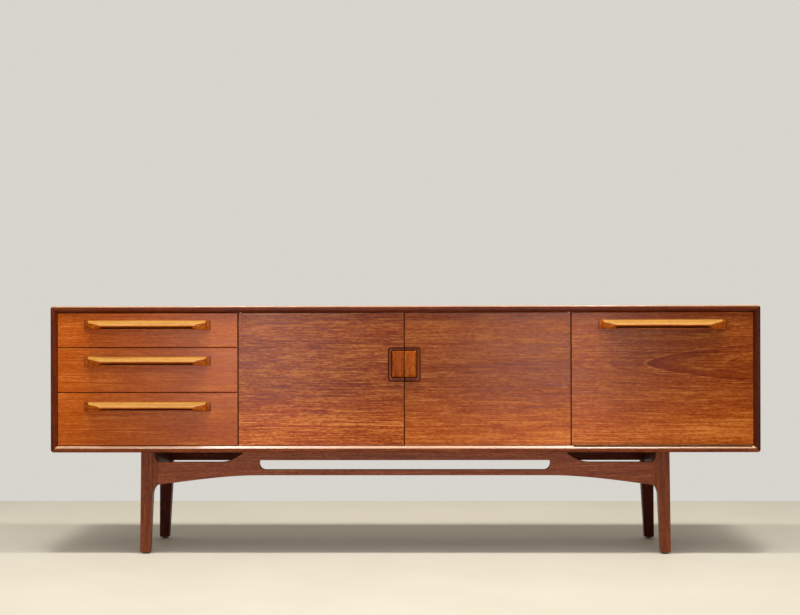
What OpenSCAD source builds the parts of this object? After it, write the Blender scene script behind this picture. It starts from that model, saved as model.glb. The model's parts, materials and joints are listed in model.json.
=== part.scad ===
// Long low sideboard: a mitred carcass on a carved stand, with three drawers, a pair of
// doors and a drop flap. +X is to the right, +Y is to the back and +Z is up.
// The origin is on the floor, under the middle of the whole piece.

/* [Carcass] */
// Overall width
body_w = 2130; // [2000:10:2200]
// Depth from the lipping to the back edge
body_d = 460; // [440:5:480]
// Height of the carcass
body_h = 440; // [430:5:450]
// Thickness of the carcass boards, and the width of the lipping
board_t = 19; // [18:0.5:20]
// Outer corner radius of the carcass
corner_r = 8.5; // [4:0.5:12]
// Distance from the middle to the centre of each partition
partition_x = 500; // [480:5:510]
// How far the lipping stands in front of the fronts
lip_d = 8; // [7:0.5:9]

/* [Stand] */
// Height of the stand, from the floor to the carcass
stand_h = 310; // [305:5:320]
// Distance from the middle to the outer edge of a leg, at the top
leg_x = 799; // [780:1:820]
// Distance from the carcass's front and back to the legs
leg_inset = 40; // [30:5:50]
// Thickness of a leg from front to back, at the top
leg_d = 36; // [32:1:40]

/* [Fronts] */
// Thickness of the drawer fronts, doors and flap
front_t = 18; // [17:0.5:19]
// Gap above and below the fronts
edge_gap = 2; // [2:0.5:2.5]
// Gap between one front and the next, over a partition
joint_gap = 4; // [3:0.5:5]
// Height of the top drawer's front
top_front_h = 102; // [98:0.5:110]
// Height of the middle drawer's front
middle_front_h = 133; // [125:0.5:140]
// Gap between drawer fronts
drawer_gap = 2.5; // [2:0.5:3]

/* [Handles] */
// Length of a long handle
handle_l = 380; // [340:5:420]
// Height of a long handle
handle_h = 28; // [26:1:30]
// How far a long handle stands out from its front
handle_d = 28; // [26:1:30]
// Height of the door handles' inlaid plates
inlay_h = 105; // [95:1:115]
// Width of one inlaid plate
inlay_w = 48.5; // [45:0.5:52]

/* [Motion] */
// Radius from the flap's hinge to the stay's two pivots
stay_r = 200; // [196:1:203]
// Angle between the stay's two pivots when the flap is shut
stay_angle = 14; // [13:0.5:16]

/* [Hidden] */
$fn = 48;

// Colours
teak = "#9c5528";
dark_teak = "#74371d";
light_teak = "#d18a3f";
pale_wood = "#c9a473";
ply = "#a8754a";
brass = "#c9a24f";
steel = "#b9bbbd";
grey = "#6b6560";

// How far a cutting shape runs past the face that it opens
cut = 1;

// Carcass planes
x_out = body_w / 2;
x_in = x_out - board_t;
z_low = stand_h;
z_top = stand_h + body_h;
z_floor = z_low + board_t;
z_ceiling = z_top - board_t;
y_back = (body_d + handle_d - lip_d) / 2;
y_lip = y_back - body_d;
y_face = y_lip + lip_d;
y_inner = y_face + front_t;
z_front_low = z_floor + edge_gap;
z_front_top = z_ceiling - edge_gap;

// Lipping profile
lip_bevel = 7;
lip_round = 4;

// Back panel, in a rebate that is open at the back
back_t = 6;
rebate = 9;
back_screw_r = 1.75;
back_screw_depth = 12;
back_screw_head_t = 1;
back_screw_corner_x = 120;
back_screw_middle_x = 260;
back_screw_side_z = 110;
back_screw_partition_z = 70;
back_screw_edge = 5;
y_back_panel = y_back - back_screw_head_t - back_t;

// Partitions
partition_t = 16;
partition_set = 2;
y_partition = y_inner + partition_set;
p_in = partition_x - partition_t / 2;
p_out = partition_x + partition_t / 2;

// Fronts
side_gap = 1.5;
x_side_front = x_in - side_gap;
x_front_outer = partition_x + joint_gap / 2;
x_door_outer = partition_x - joint_gap / 2;
x_door_inner = side_gap;
bottom_front_h = z_front_top - z_front_low - top_front_h - middle_front_h - 2 * drawer_gap;

// Each drawer: front height, and the height of its front's lower edge
top_z = z_front_top - top_front_h;
middle_z = top_z - drawer_gap - middle_front_h;
bottom_z = z_front_low;

// Drawer boxes and runners
drawer_side_t = 12;
drawer_side_gap = 3;
drawer_rear_gap = 13;
drawer_y_end = y_back_panel - drawer_rear_gap;
drawer_low = 8;
drawer_headroom = 14;
groove_share = 0.55;
groove_d = 7;
groove_h = 16;
groove_stop = 22;
runner_play = 0.3;
drawer_bottom_t = 4;
drawer_bottom_up = 8;
drawer_back_t = 12;
drawer_back_drop = 6;
tongue = 5;
drawer_x0 = -x_in + drawer_side_gap;
drawer_x1 = -p_out - drawer_side_gap;

// Door pivots: a pin in each carcass plate turns in a leaf let into the door's edge
pivot_in = 6;
pivot_set = 5;
pivot_x = x_door_outer - pivot_in;
pivot_y = y_face + pivot_set;
pivot_r = 2.5;
pin_play = 0.06;
pivot_well_play = 0.5;
pivot_reach = 10;
plate_t = 2;
plate_w = 8;
plate_back = 5;
plate_front = 31;
collar_r = 4;
collar_play = 0.15;

// Flap hinge: axis, knuckles, pin and leaves
knuckle_r = 2.5;
hinge_y = y_face - knuckle_r;
hinge_z = z_floor + edge_gap / 2;
hinge_pin_r = 1.2;
hinge_bore_r = hinge_pin_r + pin_play;
leaf_w = 18;
leaf_gap = 0.1;
leaf_bore_gap = 0.5;
hinge_end_gap = 6;
hinge_x0 = x_front_outer + hinge_end_gap;
hinge_x1 = x_side_front - hinge_end_gap;
hinge_groove_play = 0.3;
knuckle_count = 21;
knuckle_l = (hinge_x1 - hinge_x0) / knuckle_count;
knuckle_play = 0.2;

// Flap stay: both pivots are stay_r from the hinge, so the rod turns half as fast as
// the flap and always passes through the guide
stay_side_gap = 16;
stay_x = x_in - stay_side_gap;
stay_off = 11;
stay_pin_r = 2;
stay_rod_r = 3;
stay_rod_l = 336;
stay_rod_sink = 1.5;
stay_knob_r = 5;
stay_knob_l = 8;
stay_q = [y_inner + stay_off,
          hinge_z + sqrt(pow(stay_r, 2) - pow(y_inner + stay_off - hinge_y, 2))];
stay_q_angle = atan2(stay_q[1] - hinge_z, stay_q[0] - hinge_y);
stay_g = [hinge_y + stay_r * cos(stay_q_angle - stay_angle),
          hinge_z + stay_r * sin(stay_q_angle - stay_angle)];
stay_tilt = atan2(stay_g[1] - stay_q[1], stay_g[0] - stay_q[0]);
guide_r = 9;
guide_pin_r = 3;
guide_hole_r = stay_rod_r + 0.08;
guide_cap = 3;
guide_pin_x = 5.2;
guide_pin_end_gap = 0.3;
wall_plate_r = 14;
wall_plate_t = 3;
wall_plate_gap = 0.4;

// Shelves and their pins
shelf_t = 16;
centre_shelf_z = z_floor + 190;
bar_shelf_z = z_floor + 236;
shelf_front = y_inner + 46;
bar_shelf_front = y_inner + 66;
shelf_pin_r = 3;
shelf_pin_in = 8;
shelf_pin_out = 9;
shelf_pin_front = 45;
shelf_pin_back = 60;
shelf_play = 1;
shelf_back_gap = 2;

// Catches
catch_w = 40;
catch_d = 24;
catch_h = 14;
strike_t = 1.2;
catch_play = 0.3;
catch_off = 45;
strike_margin = 4;
strike_gap = 1;

// Legs and rails
foot_z = 5;
leg_splay = 3.6;
leg_top_w = 39;
leg_ear_w = 50;
leg_foot_w = 30;
leg_foot_d = 29;
ear_z0 = stand_h - 101;
ear_z1 = stand_h - 30;
y_leg = y_lip + leg_inset;
y_leg_back = y_back - leg_inset;
rail_d = 27;
rear_rail_h = 56;
end_rail_h = 58;
end_rail_w = 27;
end_rail_set = 6;
stretcher_set = 1.5;
hump_x = 486;
dip_x = 560;
dip_z = stand_h - 33;
slot_x = 440;
slot_z0 = stand_h - 56;
slot_z1 = stand_h - 26;
slot_r_low = 18;
slot_r_top = 6;
belly_z = stand_h - 72.3;
glide_r = 9;
nail_r = 1.5;
nail_l = 14;
neck_in = 5;
neck_drop = 29;
ear_shoulder_z = stand_h - 18;
frame_screw_r = 2.5;
frame_head_r = 5;
frame_head_t = 3;
frame_bore_r = 5.5;
frame_bore_z = stand_h - 80;
frame_seat_z = stand_h - 30;
frame_screw_in = 14;
front_screw_x = slot_x + 32;
rear_screw_x = slot_x - 20;
end_screw_y = [-90, 110];

// ---- Helpers ----

// A box from one corner to the opposite one
module block(lo, hi) {
    translate(lo) cube(hi - lo);
}

// Extrudes an outline of (x, z) points from y0 to y1
module along_y(y0, y1) {
    translate([0, y1, 0]) rotate([90, 0, 0]) linear_extrude(y1 - y0) children();
}

// Extrudes an outline of (y, z) points from x0 to x1
module along_x(x0, x1) {
    translate([x0, 0, 0]) rotate([90, 0, 90]) linear_extrude(x1 - x0) children();
}

// Extrudes an outline of (x, y) points from z0 to z1
module along_z(z0, z1) {
    translate([0, 0, z0]) linear_extrude(z1 - z0) children();
}

// A round bar along each axis
module bar_x(r, x0, x1, y, z) {
    translate([x0, y, z]) rotate([0, 90, 0]) cylinder(r = r, h = x1 - x0);
}

module bar_y(r, y0, y1, x, z) {
    translate([x, y1, z]) rotate([90, 0, 0]) cylinder(r = r, h = y1 - y0);
}

module bar_z(r, z0, z1, x, y) {
    translate([x, y, z0]) cylinder(r = r, h = z1 - z0);
}

// A copy on the other side of the middle
module both_sides() {
    children();
    mirror([1, 0, 0]) children();
}

// The child as drawn for side 1, mirrored for side -1
module on_side(side) {
    mirror([side < 0 ? 1 : 0, 0, 0]) children();
}

// An outline's rectangle with its four corners rounded by circles
module round_rect(x0, x1, z0, z1, r) {
    translate([x0 + r, z0]) square([x1 - x0 - 2 * r, z1 - z0]);
    translate([x0, z0 + r]) square([x1 - x0, z1 - z0 - 2 * r]);
    for (x = [x0 + r, x1 - r], z = [z0 + r, z1 - r])
        translate([x, z]) circle(r);
}

// Points of a cubic curve from a to d, pulled towards b and c. Where it is used, the pulls
// are given as small offsets from the ends, in mm
function cubic(a, b, c, d, n = 12) = [
    for (i = [0:n])
        let (t = i / n, s = 1 - t)
            s * s * s * a + 3 * s * s * t * b + 3 * s * t * t * c + t * t * t * d
];

// A right half's points, followed by their mirror images in reverse order
function with_left_half(right) =
    concat(right, [for (i = [len(right) - 1:-1:0]) [-right[i][0], right[i][1]]]);

// ---- Carcass ----

module carcass_outline() {
    round_rect(-x_out, x_out, z_low, z_top, corner_r);
}

// Mitred outline of one horizontal board: side 1 is the top, side -1 the bottom
module flat_board_outline(side) {
    outer = side > 0 ? z_top : z_low;
    inner = side > 0 ? z_ceiling : z_floor;
    intersection() {
        carcass_outline();
        polygon([[-x_out, outer], [x_out, outer], [x_in, inner], [-x_in, inner]]);
    }
}

module side_board_outline() {
    intersection() {
        carcass_outline();
        polygon([[x_out, z_low], [x_out, z_top], [x_in, z_ceiling], [x_in, z_floor]]);
    }
}

module back_rebate() {
    block([-x_in - rebate, y_back_panel, z_floor - rebate],
          [x_in + rebate, y_back + cut, z_ceiling + rebate]);
}

// Where the back panel is screwed to the boards and partitions
function back_screw_places() =
    let (corner = x_in - back_screw_corner_x, middle = back_screw_middle_x)
        concat(
            [for (x = [-corner, -middle, middle, corner],
                  z = [z_floor - back_screw_edge, z_ceiling + back_screw_edge]) [x, z]],
            [for (x = [-x_in - back_screw_edge, x_in + back_screw_edge],
                  z = [z_floor + back_screw_side_z, z_ceiling - back_screw_side_z]) [x, z]],
            [for (x = [-partition_x, partition_x],
                  z = [z_floor + back_screw_partition_z,
                       z_ceiling - back_screw_partition_z]) [x, z]]);

module back_screw_holes() {
    for (p = back_screw_places())
        bar_y(back_screw_r, y_back_panel - back_screw_depth, y_back, p[0], p[1]);
}

// Sockets for the door pivots' carcass plates, in the top or the bottom panel
module pivot_plate_outline(back, front) {
    translate([pivot_x - front, pivot_y - plate_w / 2]) square([front + back, plate_w]);
}

module carcass_plate_sockets() {
    both_sides() {
        along_z(z_ceiling - cut, z_ceiling + plate_t)
            pivot_plate_outline(plate_back, plate_front);
        along_z(z_floor - plate_t, z_floor + cut)
            pivot_plate_outline(plate_back, plate_front);
    }
}

module top_panel() {
    color(teak)
        difference() {
            along_y(y_face, y_back) flat_board_outline(1);
            back_rebate();
            back_screw_holes();
            carcass_plate_sockets();
        }
}

module bottom_panel() {
    color(teak)
        difference() {
            along_y(y_face, y_back) flat_board_outline(-1);
            back_rebate();
            back_screw_holes();
            carcass_plate_sockets();
            frame_screw_shanks();
        }
}

module side_panel(side) {
    color(teak)
        difference() {
            on_side(side) along_y(y_face, y_back) side_board_outline();
            back_rebate();
            back_screw_holes();
            shelf_pin_bars();
        }
}

// Lipping profile: x runs out from the boards, y from the outer arris to the opening
module lipping_profile() {
    difference() {
        square([lip_d, board_t]);
        difference() {
            translate([lip_d - lip_round, -cut]) square([lip_round + cut, lip_round + cut]);
            translate([lip_d - lip_round, lip_round]) circle(lip_round);
        }
        polygon([[lip_d - lip_bevel, board_t], [lip_d, board_t - lip_bevel],
                 [lip_d + cut, board_t - lip_bevel], [lip_d + cut, board_t + cut],
                 [lip_d - lip_bevel, board_t + cut]]);
    }
}

module flat_lipping(side) {
    z_outer = side > 0 ? z_top : z_low;
    intersection() {
        along_x(-x_out, x_out)
            translate([y_face, z_outer]) mirror([0, side > 0 ? 1 : 0]) mirror([1, 0])
                lipping_profile();
        along_y(y_lip, y_face) flat_board_outline(side);
    }
}

module side_lipping(side) {
    on_side(side)
        intersection() {
            along_z(z_low, z_top)
                translate([x_out, y_face]) mirror([1, 0]) rotate(-90) lipping_profile();
            along_y(y_lip, y_face) side_board_outline();
        }
}

module top_lipping() {
    color(dark_teak) flat_lipping(1);
}

// The bottom lipping is grooved where the flap hinge's knuckles turn
module bottom_lipping() {
    color(dark_teak)
        difference() {
            flat_lipping(-1);
            bar_x(knuckle_r + hinge_groove_play, hinge_x0 - cut, hinge_x1 + cut,
                  hinge_y, hinge_z);
        }
}

module partition(side) {
    color(dark_teak)
        difference() {
            on_side(side)
                block([p_in, y_partition, z_floor], [p_out, y_back_panel, z_ceiling]);
            shelf_pin_bars();
            back_screw_holes();
        }
}

module back_panel() {
    color(ply)
        difference() {
            block([-x_in - rebate, y_back_panel, z_floor - rebate],
                  [x_in + rebate, y_back_panel + back_t, z_ceiling + rebate]);
            back_screw_holes();
        }
}

module back_panel_screws() {
    color(steel)
        for (p = back_screw_places()) {
            bar_y(back_screw_r, y_back_panel - back_screw_depth,
                  y_back_panel + back_t, p[0], p[1]);
            bar_y(2 * back_screw_r, y_back_panel + back_t, y_back, p[0], p[1]);
        }
}

// ---- Shelves ----

module centre_shelf() {
    color(teak)
        block([-p_in + shelf_play, shelf_front, centre_shelf_z],
              [p_in - shelf_play, y_back_panel - shelf_back_gap, centre_shelf_z + shelf_t]);
}

module bar_shelf() {
    color(teak)
        block([p_out + shelf_play, bar_shelf_front, bar_shelf_z],
              [x_in - shelf_play, y_back_panel - shelf_back_gap, bar_shelf_z + shelf_t]);
}

// Each pin: the face of the wall that holds it, the way it points, its y and its shelf
function shelf_pin_places() = [
    for (y = [shelf_front + shelf_pin_front, y_back_panel - shelf_pin_back],
         p = [[-p_in, 1, centre_shelf_z], [p_in, -1, centre_shelf_z],
              [p_out, 1, bar_shelf_z], [x_in, -1, bar_shelf_z]])
        [p[0], p[1],
         p[2] == bar_shelf_z ? max(y, bar_shelf_front + shelf_pin_front) : y,
         p[2] - shelf_pin_r]
];

module shelf_pin_bars() {
    for (p = shelf_pin_places())
        bar_x(shelf_pin_r, min(p[0] - p[1] * shelf_pin_in, p[0] + p[1] * shelf_pin_out),
              max(p[0] - p[1] * shelf_pin_in, p[0] + p[1] * shelf_pin_out), p[2], p[3]);
}

module shelf_pins() {
    color(brass) shelf_pin_bars();
}

// ---- Drawers ----

// Height of a drawer's groove centre above its front's lower edge
function groove_z(h) = drawer_low + (h - drawer_low - drawer_headroom) * groove_share;

module runner_pair(z, h) {
    low = z + groove_z(h) - groove_h / 2 + runner_play;
    reach = drawer_side_gap + groove_d - runner_play;
    y0 = y_inner + groove_stop + runner_play;
    for (x = [-x_in, -p_out - reach])
        block([x, y0, low], [x + reach, y_back_panel, low + groove_h - 2 * runner_play]);
}

module drawer_runners() {
    color(pale_wood) {
        runner_pair(top_z, top_front_h);
        runner_pair(middle_z, middle_front_h);
        runner_pair(bottom_z, bottom_front_h);
    }
}

module drawer_front(z, h) {
    color(teak)
        difference() {
            block([-x_side_front, y_face, z], [-x_front_outer, y_inner, z + h]);
            drawer_bottom_slab(z);
        }
}

module drawer_sides(z, h) {
    low = z + drawer_low;
    high = z + h - drawer_headroom;
    mid = z + groove_z(h);
    color(pale_wood)
        difference() {
            for (x = [drawer_x0, drawer_x1 - drawer_side_t])
                block([x, y_inner, low], [x + drawer_side_t, drawer_y_end, high]);
            for (x = [drawer_x0 - cut, drawer_x1 - groove_d])
                block([x, y_inner + groove_stop, mid - groove_h / 2],
                      [x + groove_d + cut, drawer_y_end + cut, mid + groove_h / 2]);
            drawer_bottom_slab(z);
        }
}

module drawer_back(z, h) {
    high = z + h - drawer_headroom - drawer_back_drop;
    color(pale_wood)
        block([drawer_x0 + drawer_side_t, drawer_y_end - drawer_back_t,
               z + drawer_low + drawer_bottom_up + drawer_bottom_t],
              [drawer_x1 - drawer_side_t, drawer_y_end, high]);
}

// The bottom's edges sit in grooves in the front and the sides, and it runs under the back
module drawer_bottom_slab(z) {
    low = z + drawer_low + drawer_bottom_up;
    block([drawer_x0 + drawer_side_t - tongue, y_inner - tongue, low],
          [drawer_x1 - drawer_side_t + tongue, drawer_y_end, low + drawer_bottom_t]);
}

module drawer_bottom(z) {
    color(ply) drawer_bottom_slab(z);
}

// ---- Long handles ----

pad_d = 3.5;
pad_end = 11;
pad_bevel = 1.5;
shoulder_d = 14;
shoulder_step = 2;
shoulder_pull = [13, 7];
sweep_l = 42;
sweep_pull = 14;
ledge_d = 5;
ledge_h = 3.4;
pocket_d = 2.5;
pocket_z = 14;
pocket_roof_z = 18.5;
lip_low = 7.9;

// The slope on top of a handle, from its flat top to its nose, and the points that pull it
slope_start = [4, handle_h];
slope_pull_top = [handle_d - 17, handle_h - 1.5];
slope_pull_nose = [handle_d - 8, 19.5];
slope_end = [handle_d - 1.4, 12.8];

// The nose's front and lower edge, and the two ends of the bevel under it
nose_front = [handle_d, 11];
nose_low = [handle_d - 0.8, 8.8];
bevel_out = [handle_d - 6, 3];
bevel_in = [handle_d - 13, 0];

// The pocket's sloping roof behind the nose
roof_back = [6, pocket_roof_z];
roof_front = [12, pocket_roof_z];
roof_knee = [handle_d - 7.5, 11.5];
roof_end = [handle_d - 3.5, lip_low];

// Section of a long handle: x runs out from the front, y up from the handle's lower edge
module handle_section() {
    polygon(concat(
        [[0, 0], [0, handle_h]],
        cubic(slope_start, slope_pull_top, slope_pull_nose, slope_end, 8),
        [nose_front, nose_low, bevel_out, bevel_in]));
}

// The finger hollow: a pocket up behind the lip, over a narrow ledge
module handle_hollow_section() {
    polygon([[ledge_d, -cut], [ledge_d, ledge_h], [pocket_d, ledge_h], [pocket_d, pocket_z],
             roof_back, roof_front, roof_knee, roof_end,
             [handle_d + cut, lip_low], [handle_d + cut, -cut]]);
}

// Right half of a long handle's plan: a low pad at the end, a shoulder, and a sweep out
// to the lip
function handle_plan_half() =
    let (half = handle_l / 2,
         shoulder = half - pad_end - shoulder_step,
         swept = half - pad_end - sweep_l)
        concat(
            cubic([swept, -handle_d], [swept + sweep_pull, -handle_d],
                  [shoulder - shoulder_pull[0], -shoulder_d - shoulder_pull[1]],
                  [shoulder, -shoulder_d], 8),
            [[half - pad_end, -pad_d], [half - pad_bevel, -pad_d],
             [half, -pad_d + pad_bevel], [half, 0]]);

module handle_plan() {
    polygon(with_left_half(handle_plan_half()));
}

// A long handle on the fronts' plane, centred on x, with its top edge at z
module long_handle(x, z) {
    hollow = handle_l / 2 - pad_end - sweep_l;
    color(light_teak)
        translate([x, y_face, z - handle_h])
            difference() {
                intersection() {
                    along_x(-handle_l / 2, handle_l / 2) mirror([1, 0]) handle_section();
                    along_z(-cut, handle_h + cut) handle_plan();
                }
                along_x(-hollow, hollow) mirror([1, 0]) handle_hollow_section();
            }
}

handle_x = (x_side_front + x_front_outer) / 2;
handle_below = [22, 26, 27];

// ---- Doors ----

inlay_t = 12;
inlay_r = 10;
inlay_z = z_front_low + 190;
grip_w = inlay_w - 13;
grip_h = 79;
grip_d = 9;
grip_z = inlay_z + (inlay_h - grip_h) / 2 + 1.5;
grip_r = 4;
moat_rim = 2;
moat_d = 7;

// Outline of one inlaid plate: square at the meeting edge and rounded outside
module inlay_outline(margin) {
    intersection() {
        round_rect(-inlay_w, x_door_inner + inlay_w - margin, inlay_z + margin,
                   inlay_z + inlay_h - margin, inlay_r - margin / 2);
        translate([x_door_inner, inlay_z]) square([inlay_w, inlay_h]);
    }
}

module grip_outline() {
    intersection() {
        round_rect(-grip_w, x_door_inner + grip_w, grip_z, grip_z + grip_h, grip_r);
        translate([x_door_inner, grip_z]) square([grip_w, grip_h]);
    }
}

// A grip block in a moat, inlaid flush at the door's meeting edge
module door_handle(side) {
    color(light_teak)
        on_side(side) {
            difference() {
                along_y(y_face, y_face + inlay_t) inlay_outline(0);
                along_y(y_face - cut, y_face + moat_d) inlay_outline(moat_rim);
            }
            along_y(y_face - grip_d, y_face + moat_d) grip_outline();
        }
}

module door_panel(side) {
    well_r = pivot_r + pivot_well_play;
    well_depth = pivot_reach + cut;
    color(teak)
        on_side(side)
            difference() {
                block([x_door_inner, y_face, z_front_low],
                      [x_door_outer, y_inner, z_front_top]);
                along_y(y_face - cut, y_face + inlay_t) inlay_outline(0);
                along_z(z_front_top - plate_t, z_front_top + cut)
                    pivot_plate_outline(plate_back, plate_front);
                along_z(z_front_low - cut, z_front_low + plate_t)
                    pivot_plate_outline(plate_back, plate_front);
                bar_z(well_r, z_front_top - well_depth, z_front_top + cut,
                      pivot_x, pivot_y);
                bar_z(well_r, z_front_low - cut, z_front_low + well_depth,
                      pivot_x, pivot_y);
            }
}

// The leaves in a door's top and bottom edges, each bored for its pivot pin
module door_pivot_leaves(side) {
    color(brass)
        on_side(side)
            difference() {
                for (z = [z_front_low, z_front_top - plate_t])
                    along_z(z, z + plate_t) pivot_plate_outline(plate_back, plate_front);
                bar_z(pivot_r + pin_play, z_front_low - cut, z_front_top + cut,
                      pivot_x, pivot_y);
            }
}

// The carcass plates, each with a collar in the gap and a pin that reaches into the door
module door_pivot_plates() {
    color(brass)
        both_sides() {
            along_z(z_ceiling, z_ceiling + plate_t) pivot_plate_outline(plate_back, plate_front);
            bar_z(collar_r, z_front_top + collar_play, z_ceiling, pivot_x, pivot_y);
            bar_z(pivot_r, z_front_top - pivot_reach, z_ceiling, pivot_x, pivot_y);
            along_z(z_floor - plate_t, z_floor) pivot_plate_outline(plate_back, plate_front);
            bar_z(collar_r, z_floor, z_front_low - collar_play, pivot_x, pivot_y);
            bar_z(pivot_r, z_floor, z_front_low + pivot_reach, pivot_x, pivot_y);
        }
}

// ---- Catches ----

// Middle of each catch: one beside each door's meeting edge, one over the flap
catch_x = [-catch_off, catch_off, handle_x];

module magnetic_catches() {
    y0 = y_inner + strike_t + catch_play;
    color(grey)
        for (x = catch_x)
            block([x - catch_w / 2, y0, z_ceiling - catch_h],
                  [x + catch_w / 2, y0 + catch_d, z_ceiling]);
}

module strike(x) {
    color(steel)
        block([x - catch_w / 2 + strike_margin, y_inner, z_ceiling - catch_h + strike_gap],
              [x + catch_w / 2 - strike_margin, y_inner + strike_t, z_front_top - strike_gap]);
}

// ---- Flap ----

module flap_panel() {
    color(teak)
        block([x_front_outer, y_face, z_front_low], [x_side_front, y_inner, z_front_top]);
}

// Knuckles with an even number belong to the fixed leaf
module knuckles(first, r, play) {
    for (i = [first:2:knuckle_count - 1])
        bar_x(r, hinge_x0 + i * knuckle_l + play, hinge_x0 + (i + 1) * knuckle_l - play,
              hinge_y, hinge_z);
}

// A leaf with tabs that reach in to its own knuckles
module hinge_leaf(first, z0, z1) {
    clear_y = hinge_y + knuckle_r + knuckle_play;
    tab_y = hinge_y + hinge_bore_r + leaf_bore_gap;
    block([hinge_x0, clear_y, z0], [hinge_x1, clear_y + leaf_w, z1]);
    for (i = [first:2:knuckle_count - 1])
        block([hinge_x0 + i * knuckle_l + knuckle_play, tab_y, z0],
              [hinge_x0 + (i + 1) * knuckle_l - knuckle_play, clear_y + cut, z1]);
}

module flap_hinge_fixed_leaf() {
    color(brass) {
        hinge_leaf(0, z_floor, hinge_z - leaf_gap / 2);
        knuckles(0, knuckle_r, knuckle_play);
        bar_x(hinge_pin_r, hinge_x0, hinge_x1, hinge_y, hinge_z);
    }
}

module flap_hinge_moving_leaf() {
    color(brass)
        difference() {
            union() {
                hinge_leaf(1, hinge_z + leaf_gap / 2, z_front_low);
                knuckles(1, knuckle_r, knuckle_play);
            }
            bar_x(hinge_bore_r, hinge_x0 - cut, hinge_x1 + cut, hinge_y, hinge_z);
        }
}

// ---- Flap stay ----

ear_t = 4;
eye_r = 5.5;
eye_t = 7;
eye_play = 0.5;
ear_r = 6;
base_t = 2.5;
base_half = 16;

// A clevis on the flap's inner face that holds the rod's eye on a pin
module stay_flap_bracket() {
    inner = stay_x - eye_t / 2 - eye_play;
    outer = stay_x + eye_t / 2 + eye_play;
    color(brass) {
        block([inner - ear_t, y_inner, stay_q[1] - base_half],
              [outer + ear_t, y_inner + base_t, stay_q[1] + base_half]);
        for (x = [inner - ear_t, outer]) {
            block([x, y_inner, stay_q[1] - ear_r], [x + ear_t, stay_q[0], stay_q[1] + ear_r]);
            bar_x(ear_r, x, x + ear_t, stay_q[0], stay_q[1]);
        }
        bar_x(stay_pin_r, inner - ear_t, outer + ear_t, stay_q[0], stay_q[1]);
    }
}

// The rod, with its eye at the flap and a stop knob at its free end
module stay_rod() {
    color(brass)
        translate([stay_x, stay_q[0], stay_q[1]]) rotate([stay_tilt, 0, 0])
            difference() {
                union() {
                    bar_x(eye_r, -eye_t / 2, eye_t / 2, 0, 0);
                    bar_y(stay_rod_r, eye_r - stay_rod_sink, stay_rod_l - stay_knob_l + cut,
                          0, 0);
                    bar_y(stay_knob_r, stay_rod_l - stay_knob_l, stay_rod_l, 0, 0);
                }
                bar_x(stay_pin_r + pin_play, -eye_t, eye_t, 0, 0);
            }
}

// A swivelling block on the wall bracket's pin, bored for the rod
module stay_guide() {
    color(brass)
        translate([stay_x, stay_g[0], stay_g[1]]) rotate([stay_tilt, 0, 0])
            difference() {
                bar_x(guide_r, -guide_pin_r - guide_cap,
                      stay_side_gap - wall_plate_t - wall_plate_gap, 0, 0);
                bar_x(guide_pin_r + pin_play, guide_pin_x - guide_pin_end_gap,
                      stay_side_gap, 0, 0);
                bar_y(guide_hole_r, -guide_r - cut, guide_r + cut, 0, 0);
            }
}

module stay_wall_bracket() {
    color(brass) {
        bar_x(wall_plate_r, x_in - wall_plate_t, x_in, stay_g[0], stay_g[1]);
        bar_x(guide_pin_r, stay_x + guide_pin_x, x_in, stay_g[0], stay_g[1]);
    }
}

// ---- Stand ----

// Front view of a front leg: an ear at the inner side meets the stretcher
module front_leg_outline() {
    top_in = leg_x - leg_top_w;
    ear_in = leg_x - leg_ear_w;
    foot_out = leg_x + leg_splay;
    foot_in = foot_out - leg_foot_w;
    neck = [top_in + neck_in, ear_z0 - neck_drop];
    polygon(concat(
        [[leg_x, stand_h], [foot_out, foot_z], [foot_in, foot_z]],
        cubic(neck, neck + [-1.5, 14], [ear_in + 8, ear_z0 - 4], [ear_in, ear_z0], 8),
        cubic([ear_in, ear_z1], [ear_in + 5, ear_z1 + 4], [top_in, ear_shoulder_z],
              [top_in, stand_h], 8)));
}

module back_leg_outline() {
    top_in = leg_x - leg_top_w;
    foot_out = leg_x + leg_splay;
    polygon([[leg_x, stand_h], [foot_out, foot_z], [foot_out - leg_foot_w, foot_z],
             [top_in, ear_z0], [top_in, stand_h]]);
}

// Side view of a leg: a straight outer face at y, and a taper below the rails
module leg_side_outline(y, way) {
    polygon([[y, foot_z], [y, stand_h], [y + way * leg_d, stand_h],
             [y + way * leg_d, ear_z0], [y + way * leg_foot_d, foot_z]]);
}

// The middle of a leg's foot
function foot_x() = leg_x + leg_splay - leg_foot_w / 2;
function foot_y(front) = front ? y_leg + leg_foot_d / 2 : y_leg_back - leg_foot_d / 2;

module leg(side, front) {
    color(dark_teak)
        on_side(side)
            difference() {
                intersection() {
                    along_y(y_leg - cut, y_leg_back + cut)
                        if (front) front_leg_outline(); else back_leg_outline();
                    along_x(leg_x - leg_ear_w - cut, leg_x + leg_splay + cut)
                        if (front) leg_side_outline(y_leg, 1);
                        else leg_side_outline(y_leg_back, -1);
                }
                bar_z(nail_r, 0, foot_z + nail_l, foot_x(), foot_y(front));
            }
}

module leg_glides() {
    color(grey)
        both_sides()
            for (front = [true, false]) {
                bar_z(glide_r, 0, foot_z, foot_x(), foot_y(front));
                bar_z(nail_r, foot_z, foot_z + nail_l, foot_x(), foot_y(front));
            }
}

// Right half of the front stretcher's outline, from the belly round to the top edge
function stretcher_half() =
    let (end_x = leg_x - leg_ear_w)
        concat(
            cubic([slot_x, belly_z], [slot_x + 120, belly_z], [end_x - 60, ear_z0 + 6],
                  [end_x, ear_z0], 16),
            [[end_x, dip_z]],
            cubic([dip_x, dip_z], [dip_x - 34, dip_z], [hump_x + 9, stand_h - 12],
                  [hump_x, stand_h], 12));

module stretcher_outline() {
    polygon(with_left_half(stretcher_half()));
}

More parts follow.
